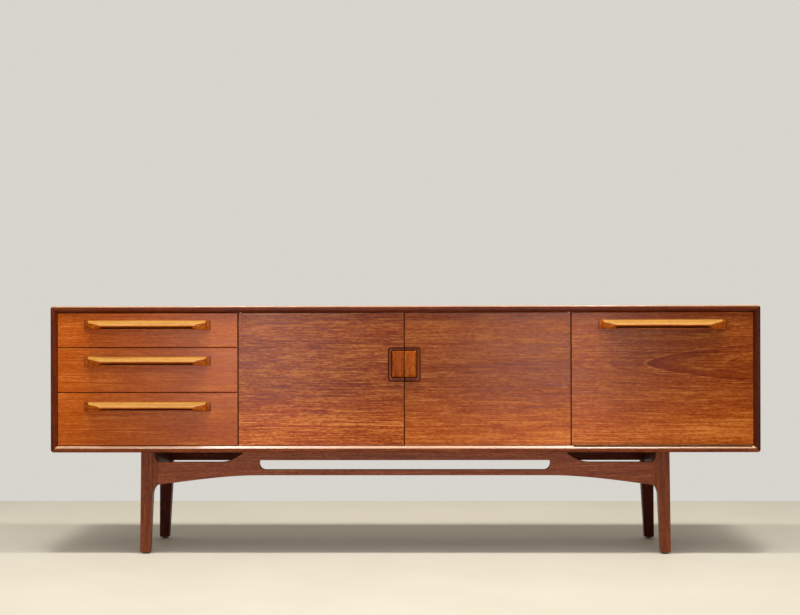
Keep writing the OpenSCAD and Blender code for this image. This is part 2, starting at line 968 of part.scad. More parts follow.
// The long slot: tight top corners and generous bottom ones
module stretcher_slot_outline() {
    difference() {
        round_rect(-slot_x, slot_x, slot_z0, slot_z1, slot_r_top);
        for (side = [-1, 1])
            translate([side * (slot_x - slot_r_low), slot_z0 + slot_r_low])
                difference() {
                    translate([side > 0 ? 0 : -slot_r_low - cut, -slot_r_low - cut])
                        square([slot_r_low + cut, slot_r_low + cut]);
                    circle(slot_r_low);
                }
    }
}

module front_stretcher() {
    y0 = y_leg + stretcher_set;
    color(dark_teak)
        difference() {
            along_y(y0, y0 + rail_d) stretcher_outline();
            along_y(y0 - cut, y0 + rail_d + cut) stretcher_slot_outline();
            frame_screw_bores();
        }
}

module rear_rail() {
    y1 = y_leg_back - stretcher_set;
    x1 = leg_x - leg_top_w;
    color(dark_teak)
        difference() {
            block([-x1, y1 - rail_d, stand_h - rear_rail_h], [x1, y1, stand_h]);
            frame_screw_bores();
        }
}

module end_rail(side) {
    x1 = leg_x - end_rail_set;
    color(dark_teak)
        difference() {
            on_side(side)
                block([x1 - end_rail_w, y_leg + leg_d, stand_h - end_rail_h],
                      [x1, y_leg_back - leg_d, stand_h]);
            frame_screw_bores();
        }
}

// Where the stand is screwed up into the carcass
function frame_screw_places() =
    let (rail_middle = stretcher_set + rail_d / 2,
         end_x = leg_x - end_rail_set - end_rail_w / 2)
        [for (side = [-1, 1],
              p = [[front_screw_x, y_leg + rail_middle],
                   [rear_screw_x, y_leg_back - rail_middle],
                   [end_x, end_screw_y[0]],
                   [end_x, end_screw_y[1]]])
            [side * p[0], p[1]]];

module frame_screw_shanks() {
    for (p = frame_screw_places())
        bar_z(frame_screw_r, frame_seat_z, stand_h + frame_screw_in, p[0], p[1]);
}

module frame_screw_bores() {
    frame_screw_shanks();
    for (p = frame_screw_places())
        bar_z(frame_bore_r, frame_bore_z, frame_seat_z, p[0], p[1]);
}

module frame_screws() {
    color(steel) {
        frame_screw_shanks();
        for (p = frame_screw_places())
            bar_z(frame_head_r, frame_seat_z - frame_head_t, frame_seat_z, p[0], p[1]);
    }
}

// ---- Nodes ----

module left_side_panel() { side_panel(-1); }
module right_side_panel() { side_panel(1); }
module left_lipping() { color(dark_teak) side_lipping(-1); }
module right_lipping() { color(dark_teak) side_lipping(1); }
module left_partition() { partition(-1); }
module right_partition() { partition(1); }
module left_end_rail() { end_rail(-1); }
module right_end_rail() { end_rail(1); }
module front_left_leg() { leg(-1, true); }
module front_right_leg() { leg(1, true); }
module back_left_leg() { leg(-1, false); }
module back_right_leg() { leg(1, false); }
module top_drawer_front() { drawer_front(top_z, top_front_h); }
module top_drawer_sides() { drawer_sides(top_z, top_front_h); }
module top_drawer_back() { drawer_back(top_z, top_front_h); }
module top_drawer_bottom() { drawer_bottom(top_z); }
module top_drawer_handle() { long_handle(-handle_x, z_front_top - handle_below[0]); }
module middle_drawer_front() { drawer_front(middle_z, middle_front_h); }
module middle_drawer_sides() { drawer_sides(middle_z, middle_front_h); }
module middle_drawer_back() { drawer_back(middle_z, middle_front_h); }
module middle_drawer_bottom() { drawer_bottom(middle_z); }
module middle_drawer_handle() {
    long_handle(-handle_x, middle_z + middle_front_h - handle_below[1]);
}
module bottom_drawer_front() { drawer_front(bottom_z, bottom_front_h); }
module bottom_drawer_sides() { drawer_sides(bottom_z, bottom_front_h); }
module bottom_drawer_back() { drawer_back(bottom_z, bottom_front_h); }
module bottom_drawer_bottom() { drawer_bottom(bottom_z); }
module bottom_drawer_handle() {
    long_handle(-handle_x, bottom_z + bottom_front_h - handle_below[2]);
}
module left_door_panel() { door_panel(-1); }
module left_door_handle() { door_handle(-1); }
module left_door_pivot_leaves() { door_pivot_leaves(-1); }
module left_door_strike() { strike(catch_x[0]); }
module right_door_panel() { door_panel(1); }
module right_door_handle() { door_handle(1); }
module right_door_pivot_leaves() { door_pivot_leaves(1); }
module right_door_strike() { strike(catch_x[1]); }
module flap_handle() { long_handle(handle_x, z_front_top - handle_below[0]); }
module flap_strike() { strike(catch_x[2]); }

top_panel();
bottom_panel();
left_side_panel();
right_side_panel();
top_lipping();
bottom_lipping();
left_lipping();
right_lipping();
left_partition();
right_partition();
back_panel();
back_panel_screws();
centre_shelf();
bar_shelf();
shelf_pins();
drawer_runners();
door_pivot_plates();
flap_hinge_fixed_leaf();
magnetic_catches();
stay_wall_bracket();
front_stretcher();
rear_rail();
left_end_rail();
right_end_rail();
front_left_leg();
front_right_leg();
back_left_leg();
back_right_leg();
frame_screws();
leg_glides();
top_drawer_front();
top_drawer_sides();
top_drawer_back();
top_drawer_bottom();
top_drawer_handle();
middle_drawer_front();
middle_drawer_sides();
middle_drawer_back();
middle_drawer_bottom();
middle_drawer_handle();
bottom_drawer_front();
bottom_drawer_sides();
bottom_drawer_back();
bottom_drawer_bottom();
bottom_drawer_handle();
left_door_panel();
left_door_handle();
left_door_pivot_leaves();
left_door_strike();
right_door_panel();
right_door_handle();
right_door_pivot_leaves();
right_door_strike();
flap_panel();
flap_handle();
flap_hinge_moving_leaf();
flap_strike();
stay_flap_bracket();
stay_rod();
stay_guide();
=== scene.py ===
import json
import math

import bmesh
import bpy
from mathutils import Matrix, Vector


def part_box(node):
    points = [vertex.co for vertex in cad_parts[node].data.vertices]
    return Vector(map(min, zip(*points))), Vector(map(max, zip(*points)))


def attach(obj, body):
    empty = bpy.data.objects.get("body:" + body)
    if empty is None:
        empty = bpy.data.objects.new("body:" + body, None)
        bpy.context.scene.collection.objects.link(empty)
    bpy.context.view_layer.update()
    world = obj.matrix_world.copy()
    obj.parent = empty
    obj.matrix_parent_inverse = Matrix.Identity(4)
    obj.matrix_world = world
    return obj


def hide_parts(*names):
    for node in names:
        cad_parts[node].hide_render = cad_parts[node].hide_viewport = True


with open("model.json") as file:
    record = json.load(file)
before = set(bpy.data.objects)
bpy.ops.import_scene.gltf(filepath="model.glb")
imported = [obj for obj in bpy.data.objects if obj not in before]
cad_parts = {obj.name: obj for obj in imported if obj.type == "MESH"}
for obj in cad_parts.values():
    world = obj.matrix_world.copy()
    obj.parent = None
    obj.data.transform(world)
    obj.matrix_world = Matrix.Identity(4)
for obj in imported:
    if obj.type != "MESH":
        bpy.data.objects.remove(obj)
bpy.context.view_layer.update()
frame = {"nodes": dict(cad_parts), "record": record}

# Shapes are in millimetres. Materials, lights, the floor and the camera are in metres.
MM = 0.001
NODES = frame["nodes"]
BEHAVIOUR = frame["record"]["behaviour"]
BODY_OF = {node: body for body, nodes in BEHAVIOUR["bodies"].items() for node in nodes}

# Each node's wood starts at its own place in the pattern, and its second wood at another
SEED_OF = {node: 3 + 2 * i for i, node in enumerate(sorted(NODES))}
SECOND = 100


def in_mm(place):
    """A place in metres, as millimetres without rounding noise."""
    return [round(c / MM, 3) for c in place]


def box_mm(node):
    """A CAD node's lowest and highest corner at rest, in millimetres."""
    low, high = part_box(node)
    return in_mm(low), in_mm(high)


# ---- Meshes ----

# In metres: nearer vertices than this are joined, in a mesh and along its cut
MERGE = 1e-6
CUT_MERGE = 1e-7


def new_piece(name, node, verts, faces, marks, materials, cut_x=None):
    """A mesh piece that stands for a CAD node and rides on that node's body. marks gives
    each face's material. cut_x = (x, side) keeps only what lies on that side of x."""
    mesh = bpy.data.meshes.new(name)
    mesh.from_pydata([tuple(c * MM for c in v) for v in verts], [], faces)
    mesh.polygons.foreach_set("material_index", marks)
    bm = bmesh.new()
    bm.from_mesh(mesh)
    bmesh.ops.remove_doubles(bm, verts=bm.verts, dist=MERGE)
    if cut_x:
        x, side = cut_x
        made = bmesh.ops.bisect_plane(bm, geom=bm.verts[:] + bm.edges[:] + bm.faces[:],
                                      plane_co=(x * MM, 0, 0), plane_no=(-side, 0, 0),
                                      clear_outer=True, dist=CUT_MERGE)
        edges = [e for e in made["geom_cut"] if isinstance(e, bmesh.types.BMEdge)]
        bmesh.ops.contextual_create(bm, geom=edges)
    bmesh.ops.recalc_face_normals(bm, faces=bm.faces)
    bm.to_mesh(mesh)
    bm.free()
    piece = bpy.data.objects.new(name, mesh)
    bpy.context.scene.collection.objects.link(piece)
    for material in materials:
        mesh.materials.append(material)
    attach(piece, BODY_OF[node])
    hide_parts(node)
    return piece


def loft(loops, marks):
    """Vertices, faces and face marks of a closed body through loops of equal length.
    marks(i, j) gives the mark of the face between loops i and i + 1 at point j."""
    count = len(loops[0])
    verts = [v for loop in loops for v in loop]
    faces, kinds = [], []
    for i in range(len(loops) - 1):
        for j in range(count):
            k = (j + 1) % count
            faces.append((i * count + j, i * count + k, (i + 1) * count + k,
                          (i + 1) * count + j))
            kinds.append(marks(i, j))
    last = (len(loops) - 1) * count
    faces += [tuple(range(count)), tuple(range(last, last + count))]
    kinds += [marks(0, 0), marks(len(loops) - 2, 0)]
    return verts, faces, kinds


def smooth(piece, angle):
    """Smooth shading with sharp edges above an angle in degrees."""
    piece.data.shade_smooth()
    piece.data.set_sharp_from_angle(angle=math.radians(angle))


def curve(a, b, c, d, t):
    """A point of a cubic curve through a and d, pulled towards b and c."""
    s = 1 - t
    return tuple(s ** 3 * p + 3 * s * s * t * q + 3 * s * t * t * r + t ** 3 * u
                 for p, q, r, u in zip(a, b, c, d))


def between(points, x):
    """Straight lines through (x, value) points, level beyond their ends."""
    if x <= points[0][0]:
        return points[0][1]
    for (x0, v0), (x1, v1) in zip(points, points[1:]):
        if x <= x1:
            return v0 + (v1 - v0) * (x - x0) / (x1 - x0)
    return points[-1][1]


# ---- Long handles ----

# Section points are (out from the front, up from the lowest edge). Distances along a handle
# are taken from its nearer end.
handle_low, handle_high = box_mm("flap_handle")
HANDLE_HALF = (handle_high[0] - handle_low[0]) / 2
HANDLE_D = handle_high[1] - handle_low[1]
HANDLE_H = handle_high[2] - handle_low[2]

BROW = 2.8  # depth of the flat strip above the slope
BROW_SET = 0.8  # least distance from that strip to the front edge
NOSE_SET = 0.5  # least distance from the slope to the front edge
SLOPE_STEPS = 12
SLOPE = [curve((4, HANDLE_H), (11, 26.5), (20, 19.5), (26.6, 12.8), i / SLOPE_STEPS)
         for i in range(SLOPE_STEPS + 1)]
SLOPE_POINTS = 11
ARRIS = 0.25  # how far the slope's upper edge is rubbed down, and over what depth
ARRIS_RUN = 0.4
FULL_DEPTH = HANDLE_D - 0.1  # from this depth on, the front edge is the full lip
LIP = [(27.6, 12.3), (HANDLE_D, 11.4), (27.0, 9.6), (25.6, 8.2)]
# The same four points where the handle is thinner: how far behind the front edge, and how far
# below the slope's end or above the underside
EDGE_TOP = [(0.12, 0.6), (0.0, 1.6)]
EDGE_FOOT = [(0.0, 1.2), (0.5, 0.3)]

# The finger hollow, from the lip back to the pocket and down over the ledge
HOLLOW = [(24.5, 7.9), (20.5, 11.5), (16.0, 15.5), (12.0, 18.2), (6.0, 18.4), (3.2, 16.8),
          (2.5, 14.0), (2.5, 3.7), (2.9, 3.4), (4.5, 3.4), (5.0, 2.9), (5.0, 0.6), (4.4, 0.0)]
# The solid underside: where its points lie, its line, and their least distance to the front
UNDER_AT = [24.5, 22.0, 18.0, 15.0, 12.0, 10.0, 8.5, 7.5, 6.8, 6.0, 5.5, 5.0, 4.4]
UNDER = [(15, 0), (22, 3), (32.4, 14.6)]
UNDER_SET = 1.0

# The handle seen from above: a low end pad, a square shoulder and the sweep of its front
PAD_EDGE = 2.4
PAD_ROUND = 1.2
PAD_DEPTH = 3.5
PAD_END = 11
SHOULDER_EASE = 0.8  # under 1, the shoulder rises faster at first
SWEEP = [(14, 16.5), (18, 18.2), (24, 19.6), (30, 20.9), (36, 22.4), (42, 24.4), (46, 25.9),
         (49, 27.0), (52, 27.7), (56, HANDLE_D)]

# Distances at which the section is set
SOLID_AT = [0, 0.5, 1.2, 6, 10.6, 11, 11.3, 11.8, 12.5, 13.3, 14, 16, 18, 21, 24, 27, 30, 33,
            36, 39, 42, 44, 46, 48]
HOLLOW_AT = [51.5, 54, 60, 90, 125, 160, HANDLE_HALF]

# Faces painted with the near-black shade wood, as painted shade: the seam round a pad, at its
# end and along its sides, and the first faces of the hollow
SEAM_END = 1.0
SEAM_SIDES = 10.5
SLOPE_WOOD_FROM = 11.5
HOLLOW_SHADE = 7
SLOPE_WOOD, SHADED, SIDE_WOOD = 0, 1, 2
CARVED_ANGLE = 38


def plan_depth(s):
    """How far a long handle stands out at a distance s from its end."""
    shoulder_end, shoulder_depth = SWEEP[0]
    if s < PAD_ROUND:
        turn = math.sin(s / PAD_ROUND * math.pi / 2)
        return PAD_EDGE + (PAD_DEPTH - PAD_EDGE) * turn
    if s < PAD_END:
        return PAD_DEPTH
    if s < shoulder_end:
        turn = math.sin((s - PAD_END) / (shoulder_end - PAD_END) * math.pi / 2)
        return PAD_DEPTH + (shoulder_depth - PAD_DEPTH) * turn ** SHOULDER_EASE
    return between(SWEEP, s)


def handle_loop(s, hollow):
    """Section of a long handle at a distance s from its end."""
    depth = plan_depth(s)
    start = SLOPE[0][0]
    nose = min(SLOPE[-1][0], depth - NOSE_SET)
    points = [(0.0, HANDLE_H), (min(BROW, depth - BROW_SET), HANDLE_H)]
    for i in range(SLOPE_POINTS):
        y = start + (nose - start) * i / (SLOPE_POINTS - 1) if nose > start else nose
        edge_part = ARRIS if y < start + ARRIS_RUN else 0
        points.append((y, between(SLOPE, y) - edge_part))
    if depth > FULL_DEPTH:
        points += LIP
    else:
        high, low = between(SLOPE, nose), between(UNDER, depth)
        points += [(depth - back, high - down) for back, down in EDGE_TOP]
        points += [(depth - back, low + up) for back, up in EDGE_FOOT]
    if hollow:
        points += HOLLOW
    else:
        set_back = [min(y, depth - UNDER_SET) for y in UNDER_AT]
        points += [(y, between(UNDER, y)) for y in set_back]
    points.append((0.0, 0.0))
    return points


def long_handle(node):
    """A long handle in place of its CAD node."""
    (x_low, _, z_low), (x_high, y_face, _) = box_mm(node)
    rows = [(s, False) for s in SOLID_AT] + [(s, True) for s in HOLLOW_AT]
    places = [(x_low + s, s, hollow) for s, hollow in rows]
    places += [(x_high - s, s, hollow) for s, hollow in reversed(rows[:-1])]
    loops = [[(x, y_face - out, z_low + up) for out, up in handle_loop(s, hollow)]
             for x, s, hollow in places]
    slope_end = SLOPE_POINTS + 2
    hollow_start = slope_end + len(LIP)

    def marks(i, j):
        s = min(places[i][1], places[i + 1][1])
        if s < SEAM_END or (s < SEAM_SIDES and not 1 < j < hollow_start):
            return SHADED
        hollow = places[i][2] and places[i + 1][2]
        if hollow and hollow_start <= j <= hollow_start + HOLLOW_SHADE:
            return SHADED
        return SLOPE_WOOD if s > SLOPE_WOOD_FROM and 0 < j < slope_end else SIDE_WOOD

    verts, faces, kinds = loft(loops, marks)
    seed = SEED_OF[node]
    # Painted light: the slope takes a paler, yellower wood than the handle's sides, for the
    # overhead light that falls on it
    slope = wood("light", "X", seed, contrast=0.7, rough=0.35, ior=1.32)
    sides = wood("inlay", "X", seed + SECOND, contrast=0.8, rough=0.3, ior=1.2)
    piece = new_piece(node + "_carved", node, verts, faces, kinds, [slope, SHADE, sides])
    smooth(piece, CARVED_ANGLE)


# ---- Lippings ----

lip_low, lip_high = box_mm("bottom_lipping")
LIP_BACK = lip_high[1]
LIP_DEPTH = lip_high[1] - lip_low[1]
LIP_WIDTH = lip_high[2] - lip_low[2]
X_OUT = box_mm("right_lipping")[1][0]
Z_LOW = lip_low[2]
Z_TOP = box_mm("top_lipping")[1][2]
CORNER_R = 8.5  # the carcass's corners
CORNER_STEPS = 4

EDGE_R = 4.0  # the lipping's rounded outer edge
EDGE_STEPS = 6
BEVEL = 7.0  # its inner bevel, and how much that bevel's two edges are eased
EASE = 0.3
BEVEL_STEPS = 8

# The flap's hinge lies in a round groove in the bottom lipping's bevel. The groove runs past
# the hinge's ends by a gap, and each of its end walls slopes a little.
hinge_low, hinge_high = box_mm("flap_hinge_fixed_leaf")
flap_hinge = next(joint for joint in BEHAVIOUR["joints"] if joint["name"] == "flap_drop")
HINGE_Y, HINGE_Z = in_mm(flap_hinge["pos_m"])[1:]
GROOVE_R = 2.8
GROOVE_GAP = 1.0
GROOVE_ENDS = (hinge_low[0] - GROOVE_GAP, hinge_high[0] + GROOVE_GAP)
GROOVE_WALL = 0.4

# Faces of the section that carry a painted highlight, a paler wood that is glossier too: the
# bevel below, the outer edge above
FIRST_BEVEL = EDGE_STEPS + 2
PAINTED_HIGHLIGHT_FACES = {"bottom_lipping": range(FIRST_BEVEL, FIRST_BEVEL + BEVEL_STEPS + 2),
        "top_lipping": range(1, 1 + EDGE_STEPS)}
# The top and left strips take a darker wood, and the right strip a darker one still, as
# painted shade on strips whose bevels face away from the light
LIP_KINDS = {"top_lipping": "lip_shade", "bottom_lipping": "solid", "left_lipping": "lip_shade",
             "right_lipping": "deep_shade"}
MOULDED_ANGLE = 32


def lip_profile(grooved):
    """Points (inset from the outer edge, out from the boards) of the lipping's section."""
    edge = []
    for i in range(EDGE_STEPS + 1):
        angle = i * math.pi / 2 / EDGE_STEPS
        edge.append((EDGE_R - EDGE_R * math.cos(angle),
                     LIP_DEPTH - EDGE_R + EDGE_R * math.sin(angle)))
    run = BEVEL - 2 * EASE
    steps = [0.0] + [EASE + run * i / BEVEL_STEPS for i in range(BEVEL_STEPS + 1)] + [BEVEL]
    bevel = [(LIP_WIDTH - BEVEL + step, LIP_DEPTH - step) for step in steps]
    if grooved:
        bevel = [out_of_groove(inset, out) for inset, out in bevel]
    return [(0.0, 0.0)] + edge + bevel + [(LIP_WIDTH, 0.0)]


def out_of_groove(inset, out):
    """A section point, pushed to the wall of the hinge groove where it lies in the groove."""
    dy, dz = LIP_BACK - out - HINGE_Y, Z_LOW + inset - HINGE_Z
    away = math.hypot(dy, dz)
    if away >= GROOVE_R:
        return inset, out
    return (HINGE_Z - Z_LOW + dz * GROOVE_R / away, LIP_BACK - HINGE_Y - dy * GROOVE_R / away)


def lip_point(inset, out, angle, right, top):
    """Where a section point lies at an angle round one corner of the carcass."""
    if inset < CORNER_R:
        cx, cz, r = X_OUT - CORNER_R, CORNER_R, CORNER_R - inset
    else:
        cx, cz, r = X_OUT - inset, inset, 0.0
    x = cx + r * math.cos(angle)
    z = r * math.sin(angle)
    return (x if right else -x, LIP_BACK - out, Z_TOP - cz + z if top else Z_LOW + cz - z)


def corner(start, right, top):
    """Loops over an eighth of a turn round a corner, from an angle onwards."""
    profile = lip_profile(False)
    angles = [start + i * math.pi / 4 / CORNER_STEPS for i in range(CORNER_STEPS + 1)]
    return [[lip_point(inset, out, angle, right, top) for inset, out in profile]
            for angle in angles]


def flat_lip(node, top):
    """The top or the bottom strip, from its left corner to its right one."""
    loops = corner(math.pi / 4, False, top)
    if not top:
        first, last = GROOVE_ENDS
        for x in (first - GROOVE_WALL, first, last, last + GROOVE_WALL):
            profile = lip_profile(x in GROOVE_ENDS)
            loops.append([(x, LIP_BACK - out, Z_LOW + inset) for inset, out in profile])
    loops += reversed(corner(math.pi / 4, True, top))
    lip(node, loops, "X")


def upright_lip(node, right):
    """The left or the right strip, from its lower corner to its upper one."""
    lip(node, corner(0, right, False)[::-1] + corner(0, right, True), "Z")


def lip(node, loops, axis):
    """A strip of lipping in place of its CAD node."""
    lighter = PAINTED_HIGHLIGHT_FACES.get(node, ())
    verts, faces, kinds = loft(loops, lambda i, j: int(j in lighter))
    seed = SEED_OF[node]
    body = wood(LIP_KINDS[node], axis, seed, contrast=0.8, rough=0.32, ior=1.2)
    edge_part = body
    if lighter:
        # Painted highlight: a paler, glossier wood on the lit bevel and edge
        edge_part = wood("edge_part", axis, seed + SECOND, contrast=0.5, rough=0.27, ior=1.6)
    piece = new_piece(node + "_moulded", node, verts, faces, kinds, [body, edge_part])
    smooth(piece, MOULDED_ANGLE)


# ---- Door handles ----

plate_low, plate_high = box_mm("left_door_handle")
PLATE_HALF = -plate_low[0]
PLATE_LOW, PLATE_TOP = plate_low[2], plate_high[2]
PLATE_R = 10.0
# How far the grip's outline lies inside the plate's
GRIP_SIDE, GRIP_FOOT, GRIP_HEAD = 13.0, 14.5, 11.5
GRIP_R = 4.0
LEAST_R = 1.0
QUARTER_STEPS = 8

# The two halves of a handle are rounded rectangles through the door's face: (how far from the
# plate's outline to the grip's, inset, in from the face, mark of the next face)
# The moat's walls take the near-black shade wood, as painted shade
BLOCK_WOOD, RING_WOOD, MOAT_SHADE = 0, 1, 2
PLATE_ROWS = [
    (0, 0, 12.0, BLOCK_WOOD), (0, 0, 0.4, BLOCK_WOOD), (0.03, 0, 0.0, BLOCK_WOOD),
    (0.08, 0, 0.0, MOAT_SHADE), (0.12, 0, 0.9, MOAT_SHADE), (0.17, 0, 4.2, MOAT_SHADE),
    (0.24, 0, 6.2, RING_WOOD), (0.36, 0, 7.0, RING_WOOD), (0.6, 0, 6.7, RING_WOOD),
    (0.8, 0, 6.9, MOAT_SHADE), (0.95, 0, 6.6, MOAT_SHADE), (1.0, 0, 5.8, MOAT_SHADE),
    (1.0, 0.1, -5.2, BLOCK_WOOD), (1.0, 0.7, -7.0, BLOCK_WOOD), (1.0, 1.9, -8.2, BLOCK_WOOD),
    (1.0, 3.8, -8.8, BLOCK_WOOD), (1.0, 8.0, -9.0, BLOCK_WOOD)]


def plate_loop(part, inset, y):
    """A rounded rectangle between the plate's outline (part = 0) and the grip's (part = 1)."""
    half = PLATE_HALF - GRIP_SIDE * part - inset
    low = PLATE_LOW + GRIP_FOOT * part + inset
    top = PLATE_TOP - GRIP_HEAD * part - inset
    r = max(PLATE_R + (GRIP_R - PLATE_R) * part - inset, LEAST_R)
    centres = [(half - r, top - r), (-half + r, top - r), (-half + r, low + r),
               (half - r, low + r)]
    points = []
    for quarter, (cx, cz) in enumerate(centres):
        for i in range(QUARTER_STEPS + 1):
            angle = (quarter + i / QUARTER_STEPS) * math.pi / 2
            points.append((cx + r * math.cos(angle), y, cz + r * math.sin(angle)))
    return points


def door_grip(node, side):
    """One half of the inlaid door handle, on the side of x that side says."""
    y_face = box_mm(node.replace("handle", "panel"))[0][1]
    inner_x = box_mm(node)[1 if side < 0 else 0][0]
    loops = [plate_loop(part, inset, y_face + y) for part, inset, y, _ in PLATE_ROWS]
    verts, faces, kinds = loft(loops, lambda i, j: PLATE_ROWS[i][3])
    seed = SEED_OF[node]
    block = wood("amber", "Z", seed, contrast=0.9, rough=0.25, ior=1.12)
    ring = wood("ring", "Z", seed + SECOND, contrast=0.6, rough=0.35, ior=1.13)
    piece = new_piece(node + "_carved", node, verts, faces, kinds, [block, ring, SHADE],
                      cut_x=(inner_x, side))
    smooth(piece, CARVED_ANGLE)


# ---- CAD nodes that stay ----

# How near vertices are joined, and at how many degrees faces still count as flat and edges
# are sharp enough to be rounded
WELD = 0.005
FLAT_ANGLE = 0.5
ROUND_ANGLE = 30


def dress(node, material, round_edge=0.8, segments=2):
    """Gives a CAD node its material and softly rounded edges."""
    piece = NODES[node]
    piece.data.materials.clear()
    piece.data.materials.append(material)
    weld = piece.modifiers.new("weld", "WELD")
    weld.merge_threshold = WELD * MM
    flat = piece.modifiers.new("flat", "DECIMATE")
    flat.decimate_type = "DISSOLVE"
    flat.angle_limit = math.radians(FLAT_ANGLE)
    bevel = piece.modifiers.new("round", "BEVEL")
    bevel.width = round_edge * MM
    bevel.segments = segments
    bevel.limit_method = "ANGLE"
    bevel.angle_limit = math.radians(ROUND_ANGLE)
    bevel.use_clamp_overlap = True
    bevel.miter_outer = "MITER_ARC"
    normals = piece.modifiers.new("normals", "WEIGHTED_NORMAL")
    normals.keep_sharp = True


def board(node, kind, axis, round_edge=0.8, segments=2, **look):
    """Gives a wooden CAD node its wood and softly rounded edges."""
    dress(node, wood(kind, axis, SEED_OF[node], **look), round_edge, segments)


# ---- Material graphs ----

class Graph:
    """A short way to build a material's nodes."""

    def __init__(self, name):
        self.material = bpy.data.materials.new(name)
        self.material.use_nodes = True
        self.tree = self.material.node_tree
        self.shader = self.tree.nodes["Principled BSDF"]

    def node(self, kind, inputs=None, **settings):
        made = self.tree.nodes.new(kind)
        for key, value in settings.items():
            setattr(made, key, value)
        for key, value in (inputs or {}).items():
            self.feed(made.inputs[key], value)
        return made

    def feed(self, socket, value):
        if isinstance(value, bpy.types.NodeSocket):
            self.tree.links.new(value, socket)
        else:
            socket.default_value = value

    def surface(self, **values):
        for name, value in values.items():
            self.feed(self.shader.inputs[name.replace("_", " ")], value)

    def place(self):
        return self.node("ShaderNodeTexCoord").outputs["Object"]

    def math(self, kind, a, b=0.0, c=0.0):
        return self.node("ShaderNodeMath", {0: a, 1: b, 2: c}, operation=kind).outputs[0]

    def vector(self, kind, a, b):
        return self.node("ShaderNodeVectorMath", {0: a, 1: b}, operation=kind).outputs[0]

    def part(self, vector, axis):
        return self.node("ShaderNodeSeparateXYZ", {0: vector}).outputs[axis]

    def noise(self, vector, scale=1.0, detail=2.0, rough=0.5, output="Fac"):
        made = self.node("ShaderNodeTexNoise", {"Vector": vector, "Scale": scale,
                                                "Detail": detail, "Roughness": rough})
        return made.outputs[output]

    def lines(self, value, scale, rough):
        """Noise along one number, such as a growth ring's place."""
        made = self.node("ShaderNodeTexNoise", {"W": value, "Scale": scale, "Detail": 3.0,
                                                "Roughness": rough}, noise_dimensions="1D")
        return made.outputs["Fac"]

    def spread(self, value, low, high, out_low=0.0, out_high=1.0, smooth=False):
        made = self.node("ShaderNodeMapRange", {"Value": value, "From Min": low,
                                                "From Max": high, "To Min": out_low,
                                                "To Max": out_high})
        made.interpolation_type = "SMOOTHSTEP" if smooth else "LINEAR"
        return made.outputs["Result"]

    def ramp(self, value, stops):
        made = self.node("ShaderNodeValToRGB", {"Fac": value})
        bar = made.color_ramp.elements
        while len(bar) < len(stops):
            bar.new(0.5)
        for element, (place, colour) in zip(bar, stops):
            element.position = place
            element.color = (*colour, 1.0)
        return made.outputs["Color"]

    def multiply(self, amount, a, b):
        made = self.node("ShaderNodeMix", data_type="RGBA", blend_type="MULTIPLY")
        self.feed(made.inputs[0], amount)
        self.feed(made.inputs[6], a)
        self.feed(made.inputs[7], b)
        return made.outputs[2]

    def bump(self, height, strength, depth_mm):
        made = self.node("ShaderNodeBump", {"Height": height, "Strength": strength,
                                            "Distance": depth_mm * MM})
        self.surface(Normal=made.outputs["Normal"])


# ---- Wood ----

# Linear colours of the woods: dark, middle and light of each
WOODS = {
    "veneer": ((0.200, 0.021, 0.0008), (0.350, 0.067, 0.003), (0.565, 0.182, 0.030)),
    "teak": ((0.145, 0.028, 0.003), (0.26, 0.062, 0.006), (0.41, 0.13, 0.018)),
    "solid": ((0.080, 0.014, 0.003), (0.165, 0.034, 0.006), (0.29, 0.076, 0.015)),
    "bright": ((0.11, 0.020, 0.006), (0.215, 0.050, 0.016), (0.36, 0.11, 0.045)),
    # Painted shade: a darker wood for the lipping strips that face away from the light
    "lip_shade": ((0.045, 0.006, 0.001), (0.105, 0.015, 0.003), (0.18, 0.036, 0.008)),
    # Painted deep shade: a near-black wood for the rear rails and legs and the right lipping
    # strip
    "deep_shade": ((0.024, 0.003, 0.001), (0.058, 0.009, 0.003), (0.11, 0.021, 0.006)),
    # Painted highlight: a pale wood for the lippings' lit bevel and top edge
    "edge_part": ((0.26, 0.10, 0.035), (0.42, 0.19, 0.075), (0.58, 0.30, 0.14)),
    "ring": ((0.14, 0.031, 0.014), (0.25, 0.062, 0.028), (0.38, 0.115, 0.055)),
    # Painted light: a paler, yellower wood for the long handles' lit slopes
    "light": ((0.29, 0.11, 0.012), (0.42, 0.187, 0.028), (0.55, 0.28, 0.06)),
    "amber": ((0.13, 0.015, 0.0004), (0.27, 0.047, 0.0008), (0.46, 0.12, 0.004)),
    "inlay": ((0.17, 0.022, 0.0005), (0.34, 0.062, 0.001), (0.58, 0.16, 0.006)),
    "pale": ((0.40, 0.24, 0.11), (0.56, 0.37, 0.19), (0.70, 0.50, 0.29)),
    "ply": ((0.26, 0.12, 0.045), (0.38, 0.19, 0.08), (0.50, 0.28, 0.13)),
    # Painted shade: a near-black wood for places where shade falls
    "shade": ((0.012, 0.001, 0.001), (0.022, 0.001, 0.001), (0.04, 0.003, 0.002)),
}
TONES = (0.1, 0.5, 0.9)  # where those three colours lie in the tone
AXES = {"X": (1, 0, 0), "Y": (0, 1, 0), "Z": (0, 0, 1)}
SEED_STEP = (1.37, 0.71, 2.13)

# Layers of the grain: scale along it, scale across it, detail, roughness. Pores are short
# dark dashes that are open to the air.
DRIFT = (2.2, 9.0, 2.0, 0.5)
BANDS = (1.1, 24.0, 3.0, 0.5)
STREAKS = (4.0, 235.0, 3.0, 0.6)
FLECKS = (16.0, 480.0, 3.0, 0.6)
DASHES = (11.0, 340.0, 2.0, 0.5)
FINE = (60.0, 1700.0, 2.0, 0.5)
MOTTLE = (9.0, 21.0, 3.0, 0.5)
WEAVE = (12.0, 150.0, 2.0, 0.95)
DABS = (80.0, 250.0, 1.0, 0.5)
PORES = (95.0, 2300.0, 1.0, 0.5)

